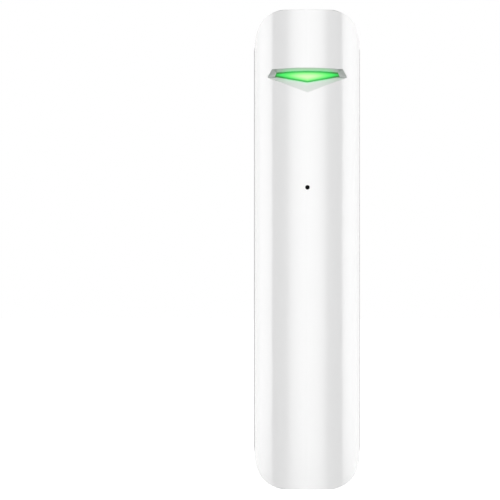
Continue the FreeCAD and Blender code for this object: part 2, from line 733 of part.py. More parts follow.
def light_guide():
    """The clear guide: its V-shaped face fills the window, and a tapered stem reaches the lamp."""
    back = WALL + PAD_THICK + CLEAR
    root = back + GUIDE_FLANGE / 2
    face = glow_prism(-GUIDE_FIT, FRONT_Y, NOSE_Y).common(body(WINDOW_RECESS)).cut(body(root))
    flange = body(back).cut(body(back + GUIDE_FLANGE)).common(pad_box(GLOW_HALF + GUIDE_FLANGE_LIP, PAD_LIP))
    sections = []
    for y, share in ((skin_y(0, root), 1), (BOARD_FRONT_Y - LAMP_HEIGHT - LOOSE, STEM_TAPER)):
        half_x, half_z = STEM_HALF_WIDTH * share, STEM_HALF_HEIGHT * share
        corners = [V(x, y, WINDOW_Z + z) for x, z in
                   ((-half_x, -half_z), (half_x, -half_z), (half_x, half_z), (-half_x, half_z))]
        sections.append(Part.makePolygon(corners + corners[:1]))
    stem = Part.makeLoft(sections, True, True).common(body(back))
    return face.fuse([flange, stem]).removeSplitter()


# The wall bracket.


def bracket_plate():
    """The plate, undercut along its sides, with legs at the bottom and a domed tab at the top."""
    low, high = BRACKET_Z, BRACKET_TOP
    core = BRACKET_HALF - BRACKET_UNDERCUT
    plate = box(-BRACKET_HALF, BRACKET_HALF, -BRACKET_EDGE, 0, low, high)
    plate = plate.fuse(box(-core, core, -BRACKET_THICK, -BRACKET_EDGE, low, high))
    gap = box(-LEG_HALF_GAP, LEG_HALF_GAP, CHANNEL_Y, 1, low - 1, low + LEG_HEIGHT)
    gap = rounded(gap, 0.5, V(0, 1, 0))
    dome_z = BRACKET_Z + DOME_RISE - DOME_RADIUS
    depth = BRACKET_THICK - DOME_STEP
    dome = Part.makeCone(DOME_RADIUS + depth / DOME_SLOPE, DOME_RADIUS, depth,
                         V(0, -BRACKET_THICK, dome_z), V(0, 1, 0))
    dome = dome.fuse(rod_y(DOME_RADIUS, -DOME_STEP, 0, 0, dome_z))
    keep = dome.fuse(box(-FAR / 2, FAR / 2, -FAR, 0, 0, dome_z))
    return plate.cut(gap).common(keep)


def hooks(low, high, top_y):
    """A pair of hooks on the plate's sides, between two heights: a web and an outward tooth."""
    inner, outer = BRACKET_HALF - BRACKET_WEB, CHANNEL_HALF - LUG_ROOM - LOOSE
    foot_y = CHANNEL_Y + LOOSE
    web = box(inner, BRACKET_HALF, foot_y, -BRACKET_EDGE / 2, low, high)
    return mirrored(web.fuse(box(inner, outer, foot_y, top_y, low, high)))


def teeth():
    """Teeth that lie behind the case's lugs, and the two ears that the upper lugs rest on."""
    tooth_y = REAR_Y - LUG_THICK - LUG_ROOM
    ear_top = UPPER_LUG_Z - STOP_ROOM
    found = hooks(BRACKET_Z, LOWER_LUG_TOP - LOOSE, tooth_y)
    found += hooks(UPPER_LUG_Z + LOOSE, UPPER_LUG_Z + SLIDE_TRAVEL - LOOSE, tooth_y)
    found += hooks(ear_top - EAR_HEIGHT, ear_top, REAR_Y - STOP_ROOM)
    found += hooks(ear_top - STOP_ROOM, UPPER_LUG_Z + 2 * LOOSE, tooth_y)
    return found


def tear_slits():
    """The perforation round the tear-off section: slits with narrow bridges between them."""
    low = BRACKET_Z + TEAR_RISE
    high = low + TEAR_HEIGHT
    y0, y1 = -BRACKET_THICK - 1, 1
    found = []
    for z in (low, high - TEAR_SLIT):
        found += mirrored(box(TEAR_BRIDGE, TEAR_HALF, y0, y1, z, z + TEAR_SLIT))
    inner = TEAR_HALF - TEAR_SLIT
    third = TEAR_HEIGHT / 3
    side_spans = ((low, low + TEAR_BRIDGE * 1.2),
                  (low + third - 0.2, low + 2 * third + 0.3),
                  (high - TEAR_BRIDGE * 1.2, high))
    for z0, z1 in side_spans:
        found += mirrored(box(inner, TEAR_HALF, y0, y1, z0, z1))
    return found


def tear_field():
    """The sunk field of the tear-off section, which leaves a rim and a collar round the hole."""
    edge = TEAR_SLIT + TEAR_RIM
    low = BRACKET_Z + TEAR_RISE
    field = box(-TEAR_HALF + edge, TEAR_HALF - edge, -TEAR_FIELD_DEPTH, 1,
                low + edge * 0.6, low + TEAR_HEIGHT - edge * 0.8)
    collar = rod_y(SCREW_HOLE_RADIUS + COLLAR_WIDTH, -TEAR_FIELD_DEPTH, 1, 0, LOWER_HOLE_Z)
    return field.cut(collar)


def wall_bracket():
    """The wall bracket: two screw holes with sunk seats, one in the section that tears off with the wall."""
    bracket = bracket_plate().fuse(teeth())
    panel = box(-PANEL_HALF, PANEL_HALF, -PANEL_DEPTH, 1,
                BRACKET_Z + TEAR_RISE + TEAR_HEIGHT + TEAR_SLIT, BRACKET_Z + TAB_RISE)
    holes = []
    for z in (LOWER_HOLE_Z, UPPER_HOLE_Z):
        holes.append(rod_y(SCREW_HOLE_RADIUS, -BRACKET_THICK - PAST, PAST, 0, z))
        holes.append(rod_y(SCREW_SEAT_RADIUS, -BRACKET_THICK - PAST, -SCREW_SEAT_FLOOR, 0, z))
    return bracket.cut([panel, tear_field()] + holes + tear_slits()).removeSplitter()


# The battery and its contacts.


def battery():
    """A sealed cylindrical lithium cell with its positive button up, turned from its half section."""
    can_top = CELL_TOP - CELL_NUB_HEIGHT
    crimp_z = can_top - CELL_CRIMP_DROP
    outline = [
        (0, CELL_BOTTOM), (CELL_RADIUS - CELL_EDGE, CELL_BOTTOM), (CELL_RADIUS, CELL_BOTTOM + CELL_EDGE),
        (CELL_RADIUS, crimp_z - CELL_CRIMP), (CELL_RADIUS - CELL_CRIMP, crimp_z),
        (CELL_RADIUS, crimp_z + CELL_CRIMP), (CELL_RADIUS, can_top - CELL_EDGE),
        (CELL_RADIUS - CELL_EDGE, can_top), (CELL_NUB_RADIUS, can_top), (CELL_NUB_RADIUS, CELL_TOP),
        (0, CELL_TOP),
    ]
    corners = [V(x, CELL_Y, z) for x, z in outline]
    section = Part.Face(Part.makePolygon(corners + corners[:1]))
    return section.revolve(V(0, CELL_Y, 0), V(0, 0, 1), 360)


def positive_contact():
    """The positive contact: a plate under the bulkhead, a pressed bump and a tab onto the board."""
    half = STRIP_X - 2 * CLEAR
    plate = box(-half, half, CELL_Y - LEAF_HALF_DEPTH, CELL_Y + LEAF_HALF_DEPTH,
                BULKHEAD_Z - STRIP, BULKHEAD_Z)
    bump = Part.makeCone(BUMP_TOP_RADIUS, BUMP_RADIUS, LEAF_GAP - CLEAR,
                         V(0, CELL_Y, CELL_TOP + CLEAR), V(0, 0, 1))
    outer, inner = -STRIP_X - STRIP_WIDTH, -STRIP_X
    front = BOARD_FRONT_Y - CLEAR
    foot = box(outer, -half + CLEAR, front - STRIP, front, BULKHEAD_Z - STRIP, BULKHEAD_Z)
    tab = box(outer, inner, front - STRIP, front, BULKHEAD_Z - STRIP, BOARD_BOTTOM + STRIP_LAP)
    return plate.fuse([bump, foot, tab]).removeSplitter()


def negative_contact():
    """The negative contact: a plate in the bottom end and a long strip up to the board."""
    low = PLATE_Z - STRIP
    outer, inner = STRIP_X + STRIP_WIDTH, STRIP_X
    back = REAR_Y - WALL - STRIP - LOOSE - CLEAR / 2
    front = BOARD_FRONT_Y - CLEAR
    turn = CELL_TOP - CELL_NUB_HEIGHT + 2 * CLEAR
    plate = box(-STRIP_X, outer, CELL_Y - SPRING_RADIUS, CELL_Y + SPRING_RADIUS, low, PLATE_Z)
    foot = box(inner, outer, CELL_Y, back, low, PLATE_Z)
    strip = box(inner, outer, back - STRIP, back, low, turn + STRIP)
    bridge = box(inner, outer, front - STRIP, back, turn, turn + STRIP)
    tab = box(inner, outer, front - STRIP, front, turn, BOARD_BOTTOM + STRIP_LAP)
    return plate.fuse([foot, strip, bridge, tab]).removeSplitter()


def negative_spring():
    """A low conical coil between the negative contact and the battery.

    Every half turn is a half circle in a plane that tilts up along its own diameter, so the
    turns join smoothly. Each half turn is narrower than the one before it.
    """
    rise = (SPRING_HEIGHT - 2 * SPRING_WIRE - CLEAR) / SPRING_HALF_TURNS
    start = V(SPRING_RADIUS - SPRING_WIRE, CELL_Y, PLATE_Z + SPRING_WIRE + CLEAR / 2)
    wire_axis = V(0, 1, 0)
    coil = None
    for k in range(SPRING_HALF_TURNS):
        width = 2 * (SPRING_RADIUS - SPRING_WIRE) - SPRING_TAPER * (2 * k + 1)
        side = -1 if k % 2 == 0 else 1
        end = start + V(side * width, 0, rise)
        middle = (start + end) / 2
        plane_normal = (end - start).cross(wire_axis) * -side
        ring = Part.Face(Part.Wire(Part.makeCircle(SPRING_WIRE, start, wire_axis)))
        half_turn = ring.revolve(middle, plane_normal, 180)
        coil = coil.fuse(half_turn) if coil else half_turn
        start = end
    return coil


# The circuit board and what stands on it.


def main_board():
    """The circuit board, with its holes for the screws and its rounded corners."""
    board = box(-BOARD_HALF, BOARD_HALF, BOARD_FRONT_Y, BOARD_Y, BOARD_BOTTOM, BOARD_TOP)
    board = rounded(board, BOARD_CORNER, V(0, 1, 0))
    low_y, high_y = BOARD_FRONT_Y - PAST, BOARD_Y + PAST
    holes = [rod_y(SCREW_RADIUS + CLEAR, low_y, high_y, x, z) for x, z in screw_places()]
    holes += [rod_y(MIC_LEAD_RADIUS + CLEAR, low_y, high_y, x, SOUND_HOLE_Z)
              for x in (-MIC_LEAD_X, MIC_LEAD_X)]
    return board.cut(holes)


def board_screws():
    """Two pan-head screws that hold the board on its posts."""
    top_y = BOARD_FRONT_Y - SCREW_HEAD
    found = []
    for x, z in screw_places():
        head = rod_y(SCREW_HEAD_RADIUS, top_y, BOARD_FRONT_Y, x, z)
        head = head.makeChamfer(SCREW_HEAD / 2, edges_at(head, top_y))
        shank = rod_y(SCREW_RADIUS, BOARD_FRONT_Y - SCREW_HEAD / 2, BOARD_Y + SCREW_BITE, x, z)
        cross = [box(x - a, x + a, top_y - PAST, top_y + SCREW_CROSS_DEPTH, z - b, z + b)
                 for a, b in ((SCREW_CROSS, SCREW_CROSS_SLOT), (SCREW_CROSS_SLOT, SCREW_CROSS))]
        found.append(head.fuse(shank).cut(cross))
    return Part.makeCompound(found)


def tamper_switch():
    """The tamper switch's housing on the back of the board, open where its plunger slides."""
    half = SWITCH_SIZE / 2
    case = box(-half, half, BOARD_Y, SWITCH_Y, TAMPER_Z - half, TAMPER_Z + half)
    shaft = box(-PLUNGER_WIDTH / 2 - SWITCH_FIT, PLUNGER_WIDTH / 2 + SWITCH_FIT,
                SWITCH_Y - SHAFT_DEPTH, SWITCH_Y + PAST,
                TAMPER_Z - PLUNGER_HEIGHT / 2 - SWITCH_FIT, TAMPER_Z + PLUNGER_HEIGHT / 2 + SWITCH_FIT)
    return case.cut(shaft)


def tamper_plunger():
    """The tamper plunger, held down by the bracket's plate."""
    inner_y = SWITCH_Y - SHAFT_DEPTH + TAMPER_TRAVEL + CLEAR
    tip_y = -BRACKET_THICK - STOP_ROOM
    bar = box(-PLUNGER_WIDTH / 2, PLUNGER_WIDTH / 2, inner_y, tip_y,
              TAMPER_Z - PLUNGER_HEIGHT / 2, TAMPER_Z + PLUNGER_HEIGHT / 2)
    tip = [e for e in bar.Edges if is_along(e, V(1, 0, 0)) and e.CenterOfMass.y > tip_y - CLEAR]
    return bar.makeFillet(PLUNGER_EDGE, tip)


def power_switch():
    """The power switch's housing on the back of the board."""
    half = SWITCH_SIZE / 2
    case = box(-half, half, BOARD_Y, POWER_BODY_Y, POWER_Z - half, POWER_Z + half)
    bore = rod_y(POWER_STEM_RADIUS + SWITCH_FIT, POWER_BODY_Y - POWER_BORE, POWER_BODY_Y + PAST, 0, POWER_Z)
    return case.cut(bore)


def power_button():
    """The power button, sunk in the floor of the channel, with its retaining flange and stem."""
    top_y = GROOVE_Y + POWER_PROUD
    flange_y = GROOVE_Y - WALL - LOOSE / 2
    cap = rod_y(POWER_RADIUS, flange_y - POWER_FLANGE, top_y, 0, POWER_Z)
    rim = [e for e in cap.Edges if isinstance(e.Curve, Part.Circle) and e.CenterOfMass.y > top_y - CLEAR]
    cap = cap.makeFillet(POWER_EDGE, rim)
    flange = rod_y(POWER_RADIUS + POWER_FLANGE_LIP, flange_y - POWER_FLANGE, flange_y, 0, POWER_Z)
    stem = rod_y(POWER_STEM_RADIUS, POWER_BODY_Y - POWER_BORE + POWER_TRAVEL + CLEAR, flange_y, 0, POWER_Z)
    return cap.fuse([flange, stem]).removeSplitter()


def terminal_socket():
    """The two-wire socket that stands on the board and shows in the wire bay."""
    case = box(-SOCKET_HALF, SOCKET_HALF, BOARD_Y, SOCKET_FACE_Y, SOCKET_Z, SOCKET_Z + SOCKET_HEIGHT)
    half = SOCKET_HALF - SOCKET_RIM
    low, high = SOCKET_Z + SOCKET_LOW_RIM, SOCKET_Z + SOCKET_HEIGHT - SOCKET_TOP_RIM
    mouth = box(-half, half, SOCKET_FLOOR_Y, SOCKET_FACE_Y + PAST, low, high)
    lead_in = box(-half - SOCKET_LEAD_IN, half + SOCKET_LEAD_IN, SOCKET_FACE_Y - SOCKET_LEAD_IN,
                  SOCKET_FACE_Y + PAST, low, high + SOCKET_LEAD_IN)
    return case.cut([mouth, lead_in])


def terminal_contacts():
    """The two copper contacts at the bottom of the socket's mouth."""
    half = CONTACT_SIDE / 2
    height = SOCKET_Z + CONTACT_RISE
    tip_y = SOCKET_FLOOR_Y + CONTACT_LENGTH
    found = []
    for x in (-CONTACT_PITCH / 2, CONTACT_PITCH / 2):
        pin = box(x - half, x + half, SOCKET_FLOOR_Y, tip_y, height - half, height + half)
        found.append(pin.makeChamfer(CONTACT_TIP, edges_at(pin, tip_y)))
    return Part.makeCompound(found)


def microphone():
    """The microphone capsule with its two leads into the board."""
    back = MIC_Y + MIC_HEIGHT
    can = rod_y(MIC_RADIUS, MIC_Y, back, 0, SOUND_HOLE_Z)
    port = rod_y(MIC_PORT_RADIUS, MIC_Y - PAST, MIC_Y + MIC_PORT_DEPTH, 0, SOUND_HOLE_Z)
    leads = [rod_y(MIC_LEAD_RADIUS, back - CLEAR, BOARD_Y, x, SOUND_HOLE_Z)
             for x in (-MIC_LEAD_X, MIC_LEAD_X)]
    return can.cut(port).fuse(leads)


def microphone_boot():
    """The rubber boot round the capsule, pressed into the front cover."""
    cup = rod_y(MIC_RADIUS + BOOT_WALL, MIC_SEAT_Y, MIC_Y + MIC_HEIGHT - BOOT_WALL / 2, 0, SOUND_HOLE_Z)
    room = rod_y(MIC_RADIUS + GUIDE_FIT, MIC_Y, MIC_Y + MIC_HEIGHT, 0, SOUND_HOLE_Z)
    hole = rod_y(MIC_PORT_RADIUS, MIC_SEAT_Y - PAST, MIC_Y + PAST, 0, SOUND_HOLE_Z)
    return cup.cut([room, hole])


def chip(x, z, wide, tall, thick):
    """A flat part soldered on the front of the board."""
    return box(x - wide / 2, x + wide / 2, BOARD_FRONT_Y - thick, BOARD_FRONT_Y, z - tall / 2, z + tall / 2)


def status_lamp():
    """The lamp behind the light guide."""
    lamp = chip(0, WINDOW_Z, LAMP_WIDTH, LAMP_TALL, LAMP_HEIGHT)
    return lamp.makeChamfer(LAMP_EDGE, edges_at(lamp, BOARD_FRONT_Y - LAMP_HEIGHT))


def radio_shield():
    """The pressed cover over the radio circuit, between the microphone and the lamp."""
    middle = (SOUND_HOLE_Z + MIC_RADIUS + WINDOW_Z - STEM_HALF_HEIGHT) / 2
    can = chip(SHIELD_X, middle, SHIELD_WIDTH, SHIELD_TALL, SHIELD_HEIGHT)
    can = rounded(can, SHIELD_CORNER, V(0, 1, 0))
    return can.makeChamfer(SHIELD_EDGE, edges_at(can, BOARD_FRONT_Y - SHIELD_HEIGHT))


def controller_chip():
    """The controller chip below the microphone."""
    return chip(-POST_X + POST_RADIUS + LOOSE + CHIP_SIDE / 2 - PART_GAP, controller_z(),
                CHIP_SIDE, CHIP_SIDE, CHIP_THICK)


def controller_z():
    """The middle height of the controller chip."""
    return BOARD_BOTTOM + STRIP_LAP + CHIP_SIDE / 2 + LOOSE


def crystal():
    """The clock crystal next to the controller."""
    x = CHIP_SIDE - POST_X + POST_RADIUS + CRYSTAL_WIDTH / 2 + LOOSE
    can = chip(x, controller_z(), CRYSTAL_WIDTH, CRYSTAL_TALL, CRYSTAL_HEIGHT)
    return rounded(can, CRYSTAL_TALL / 5, V(0, 1, 0))


def amplifier_chip():
    """The amplifier chip beside the microphone."""
    x = BOARD_HALF - PART_EDGE_ROOM - SMALL_CHIP_WIDTH / 2
    return chip(x, SOUND_HOLE_Z + SMALL_CHIP_TALL, SMALL_CHIP_WIDTH, SMALL_CHIP_TALL, CHIP_THICK)


def capacitors():
    """A row of ceramic capacitors along the board's edge."""
    x = -BOARD_HALF + PART_EDGE_ROOM + CAPACITOR_WIDTH / 2
    low = SOUND_HOLE_Z - CAPACITOR_PITCH * CAPACITOR_COUNT / 2
    row = [chip(x, low + CAPACITOR_PITCH * k, CAPACITOR_WIDTH, CAPACITOR_SIDE, CAPACITOR_SIDE)
           for k in range(CAPACITOR_COUNT)]
    return Part.makeCompound(row)


def antenna():
    """The stamped antenna: a strip that stands off the board on two feet, below the light window."""
    left = -BOARD_HALF + PART_EDGE_ROOM
    right = left + ANTENNA_WIDTH
    high = WINDOW_Z - WINDOW_TIP_FALL - PAD_LIP - PART_GAP
    low = high - ANTENNA_LENGTH
    top_y = BOARD_FRONT_Y - ANTENNA_STAND
    strip = box(left, right, top_y, top_y + STRIP, low, high)
    feet = [box(left, right, top_y, BOARD_FRONT_Y, z, z + STRIP) for z in (low, low + ANTENNA_FEET)]
    return strip.fuse(feet).removeSplitter()


def label():
    """The blank label in its shallow bed."""
    plate = box(-LABEL_HALF, LABEL_HALF, REAR_Y - LABEL_SINK, REAR_Y - LABEL_SINK + LABEL_THICK,
                LABEL_RISE, LABEL_RISE + LABEL_HEIGHT)
    return rounded(plate, LABEL_CORNER, V(0, 1, 0))


def main():
    """Builds every piece, lowers it into the frame and writes it."""
    os.makedirs("parts", exist_ok=True)
    pieces = {
        "front_cover": front_cover, "rear_cover": rear_cover, "wall_bracket": wall_bracket,
        "light_guide": light_guide, "back_label": label, "main_board": main_board,
        "board_screws": board_screws, "battery": battery, "positive_contact": positive_contact,
        "negative_contact": negative_contact, "negative_spring": negative_spring,
        "tamper_switch": tamper_switch, "tamper_plunger": tamper_plunger,
        "power_switch": power_switch, "power_button": power_button,
        "terminal_socket": terminal_socket, "terminal_contacts": terminal_contacts,
        "microphone": microphone, "microphone_boot": microphone_boot,
        "status_lamp": status_lamp, "radio_shield": radio_shield,
        "controller_chip": controller_chip, "clock_crystal": crystal,
        "amplifier_chip": amplifier_chip, "capacitors": capacitors, "antenna": antenna,
    }
    for name, make in pieces.items():
        shape = make()
        shape.translate(V(0, 0, -ORIGIN_HEIGHT))
        shape.exportStep(f"parts/{name}.step")
        solids = shape.Solids
        print(name, len(solids), "solids", round(shape.Volume, 2), "mm3", "valid", shape.isValid())


main()
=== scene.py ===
import json
import math

import bpy
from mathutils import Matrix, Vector


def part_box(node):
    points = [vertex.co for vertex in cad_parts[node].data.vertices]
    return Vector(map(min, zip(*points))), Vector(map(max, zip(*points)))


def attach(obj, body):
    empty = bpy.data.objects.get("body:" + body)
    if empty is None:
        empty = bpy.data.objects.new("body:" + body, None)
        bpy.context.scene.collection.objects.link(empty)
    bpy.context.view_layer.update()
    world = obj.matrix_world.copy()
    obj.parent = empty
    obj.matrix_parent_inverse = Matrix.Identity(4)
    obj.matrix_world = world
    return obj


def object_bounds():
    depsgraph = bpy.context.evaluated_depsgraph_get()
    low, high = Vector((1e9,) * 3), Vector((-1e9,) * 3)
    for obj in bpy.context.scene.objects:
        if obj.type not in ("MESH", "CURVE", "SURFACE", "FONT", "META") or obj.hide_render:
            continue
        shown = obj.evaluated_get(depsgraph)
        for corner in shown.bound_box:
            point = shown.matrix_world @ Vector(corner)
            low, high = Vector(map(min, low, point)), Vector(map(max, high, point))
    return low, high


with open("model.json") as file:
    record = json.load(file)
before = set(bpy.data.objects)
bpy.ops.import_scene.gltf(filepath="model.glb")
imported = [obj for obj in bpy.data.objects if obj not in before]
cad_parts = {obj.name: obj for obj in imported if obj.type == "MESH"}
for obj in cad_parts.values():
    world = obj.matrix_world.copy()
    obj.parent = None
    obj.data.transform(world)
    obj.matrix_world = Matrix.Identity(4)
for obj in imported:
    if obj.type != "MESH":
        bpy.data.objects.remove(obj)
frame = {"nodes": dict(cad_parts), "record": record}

# The looks of a slim wireless glass break sensor: finishes for every piece, and a white studio.
#
# Lengths are in metres, in the frame of the part: the front faces -Y and +Z is up.
# Sizes inside the materials are in millimetres, because that is the scale of their detail.

CAD_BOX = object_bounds()
LOW, HIGH = CAD_BOX

# The camera of the photograph: far away, level and a little to the left of the case.
PHOTO_PIXELS = 500
PIXELS_PER_METRE = 5333.0
CAMERA_DISTANCE = 1.5
CAMERA_X = -0.01078
CAMERA_Z = -0.0235
CAMERA_CLIP = (0.05, 20.0)
SENSOR_WIDTH = 36.0

# The studio. Angles are degrees round the case, from the front (0) to the wall side (180).
# The front strip is brightest in its middle, and each side strip fades towards the wall side.
FLOOR_DROP = 0.02
FLOOR_HALF = 6.0
STRIP_DISTANCE = 0.7
STRIP_HEIGHT = 0.22
FRONT_STRIP_END = 57.0
FRONT_STRIP_SOFT = 18.0
FRONT_STRIP_FALL = 0.58
FRONT_STRIP_RADIANCE = 2.45
SIDE_STRIP_FROM = 91.0
SIDE_STRIP_FADE = 100.0
SIDE_STRIP_TO = 159.0
SIDE_STRIP_LEFT = 0.1
SIDE_STRIP_RADIANCE = 2.05
REAR_LAMP_RISE = 0.45
REAR_LAMP_FROM = 155.0
REAR_LAMP_TO = 205.0
REAR_LAMP_RADIANCE = 4.3
SKY_ABOVE = 0.62
SKY_BELOW = 0.47
BACKGROUND_WHITE = 1.0
FLOOR_ALBEDO = 0.36
FLOOR_SHADE = 0.35
FLOOR_SEEN = 0.85

# The woven screen behind the sound hole, in millimetres.
SCREEN_RADIUS = 0.85
SCREEN_THICKNESS = 0.12
SCREEN_GAP = 0.01
SCREEN_THREAD = 0.09
SCREEN_DEPTH = 0.02
# The gaps' near black is painted shade of the dark port behind the screen.
SCREEN_GAP_SHADE = (0.006, 0.006, 0.006)
SCREEN_THREADS = (0.02, 0.02, 0.02)
SCREEN_ROUGHNESS = 0.8
SCREEN_GLOSS = 0.2
SCREEN_SIDES = 48

# The lip inside the seam of the two covers, in millimetres: it keeps light and dust out of the case.
SEAM_Y = -5.2
LIP_THICKNESS = 0.4
LIP_REACH = 0.9
LIP_WALL = 1.35
LIP_END = 9.0

# The light window: the glowing outline of the guide, in millimetres from the lamp's centre.
# A band is a distance inside or outside that outline, a span one across from the middle, and a rise a height.
GLOW_HALF = 6.1
GLOW_RISE = 0.12
GLOW_TOP_HALF = 5.78
GLOW_TOP_RISE = 0.94
GLOW_ARCH = 0.23
GLOW_TIP_FALL = 0.95
GLOW_RIM = (0.025, 0.45, 0.065)
GLOW_GREEN = (0.055, 0.86, 0.125)
GLOW_CORE = (0.7, 1.0, 0.5)
GLOW_STRENGTH = 0.95
GLOW_RIM_BAND = (0.1, 0.4)
GLOW_FADE_SPAN = (4.4, GLOW_HALF)
GLOW_FADE_LEFT = 0.35
GLOW_CORE_BAND = (0.02, 1.0)
GLOW_CORE_SPAN = (0.4, 5.2)
GLOW_DARK = (0.045, 0.24, 0.055)
GLOW_DARK_BAND = (0.15, 0.42)
GLOW_DARK_SPAN = (3.0, 5.6)
LENS_RIM = (0.01, 0.05, 0.015)
LENS_GREEN = (0.02, 0.12, 0.03)
LENS_GLOSS = 0.1
LENS_PATCH = 0.8
LENS_ROUGHNESS = (0.18, 0.26)

# The guide's green light on the pocket's walls, painted into the cover: a green glow on the walls and a green
# tint on the rim next to the lens.
LEAK_GREEN_LIGHT = (0.0, 0.2, 0.045)
LEAK_BAND = (0.0, 0.85)
LEAK_SPAN = (GLOW_HALF / 2, GLOW_HALF)
LEAK_BELOW = 0.4
RING_GREEN_LIGHT = (0.3, 0.85, 0.45)
RING_BAND = (0.0, 0.3)
RING_SHARE = 0.7

# The pocket round the light window, which is sunk into the cover's half-ellipse skin, in millimetres. Its
# walls get painted shade: a little on the lower wall, more above the window and most at its ends.
SKIN_HALF = 9.9
SKIN_CENTRE_Y = -7.9
SKIN_DEPTH = 11.3
SKIN_EDGE = (0.995, 0.98)
POCKET_BAND = (2.6, 2.9)
POCKET_WALL_SHADE = (0.84, 0.87, 0.85)
POCKET_ABOVE_SHADE = (0.7, 0.7, 0.7)
POCKET_ABOVE_RISE = (GLOW_TOP_RISE - 0.2, GLOW_TOP_RISE + 0.1)
POCKET_ENDS_SHADE = (0.46, 0.48, 0.47)
POCKET_ENDS_RISE = (-0.15, 0.05)
POCKET_ENDS_SPAN = (GLOW_HALF - 0.6, GLOW_HALF)

# The cover's polished skin, with a clear gloss. Patches, waves and edges are in millimetres.
COVER_WHITE = (0.9, 0.9, 0.9)
COVER_MOTTLE = 0.01
COVER_MOTTLE_SIZE = 14.0
COVER_PATCH = 2.0
COVER_ROUGHNESS = (0.16, 0.2)
COVER_INDEX = 1.5
COVER_EDGE = 0.1
COVER_WAVE = 5.0
COVER_WAVE_DEPTH = 0.002

# The blank label, and the board's tracks under green solder mask, in millimetres.
LABEL_FILM = (0.78, 0.78, 0.78)
LABEL_MOTTLE = 0.015
LABEL_MOTTLE_SIZE = 4.0
LABEL_PATCH = 0.6
LABEL_ROUGHNESS = (0.32, 0.4)
LABEL_WAVE = 1.5
LABEL_WAVE_DEPTH = 0.001
BOARD_MASK = (0.012, 0.13, 0.05)
BOARD_PATCH = 1.0
BOARD_ROUGHNESS = (0.25, 0.35)
TRACK_MASK = (0.03, 0.24, 0.09)
TRACK_GAP = 0.08
TRACK_LENGTH = 2.4
TRACK_PITCH = 0.9
TRACK_RISE = 0.02

# Painted shade in hollows: how far away a wall still makes a hollow darker, in millimetres, and the open
# shares it fades between.
HOLLOW_SHADE_REACH = 5.0
HOLLOW_SHADE_OPEN = (0.25, 0.95)

# The plain finishes, by the record's slots. Colours are linear; a grain's size and depth are in millimetres.
MOTTLE = 0.03
MOTTLE_SIZE = 6.0
WEAR = 0.1
WEAR_SIZE = 4.0
FINISHES = {
    # hollow_shade is the share by which a finish's recesses are darkened, as painted shade.
    "case_grey": dict(colour=(0.74, 0.74, 0.74), roughness=0.42, grain=0.12, depth=0.004, hollow_shade=0.35),
    "bracket_grey": dict(colour=(0.73, 0.73, 0.73), roughness=0.45, grain=0.12, depth=0.004, hollow_shade=0.45),
    "screw_steel": dict(colour=(0.62, 0.62, 0.63), roughness=0.3, grain=0.3, depth=0.002, metallic=1.0),
    "battery_sleeve": dict(colour=(0.05, 0.06, 0.09), roughness=0.3, grain=1.0, depth=0.002, edge=0.0),
    "contact_nickel": dict(colour=(0.7, 0.68, 0.64), roughness=0.28, grain=0.4, depth=0.002, metallic=1.0),
    "switch_black": dict(colour=(0.02, 0.02, 0.021), roughness=0.45, grain=0.15, depth=0.004),
    "plunger_black": dict(colour=(0.04, 0.04, 0.042), roughness=0.4, grain=0.15, depth=0.003),
    "button_grey": dict(colour=(0.5, 0.5, 0.5), roughness=0.4, grain=0.15, depth=0.003),
    "socket_grey": dict(colour=(0.3, 0.3, 0.3), roughness=0.5, grain=0.15, depth=0.004),
    "contact_copper": dict(colour=(0.72, 0.38, 0.2), roughness=0.3, grain=0.3, depth=0.002, metallic=1.0),
    "microphone_can": dict(colour=(0.7, 0.7, 0.7), roughness=0.3, grain=0.4, depth=0.002, metallic=1.0),
    "boot_rubber": dict(colour=(0.03, 0.03, 0.03), roughness=0.7, grain=0.2, depth=0.006),
    "lamp_clear": dict(colour=(0.7, 0.85, 0.72), roughness=0.15, grain=0.5, depth=0.001, edge=0.0),
    "shield_tin": dict(colour=(0.72, 0.72, 0.7), roughness=0.32, grain=0.4, depth=0.003, metallic=1.0),
    "chip_black": dict(colour=(0.02, 0.02, 0.021), roughness=0.55, grain=0.1, depth=0.004),
    "capacitor_tan": dict(colour=(0.42, 0.3, 0.18), roughness=0.5, grain=0.1, depth=0.003),
}

MM = 0.001

# The values between which nearly all of a smooth noise lies.
NOISE_SPAN = (0.3, 0.7)


# Node helpers.


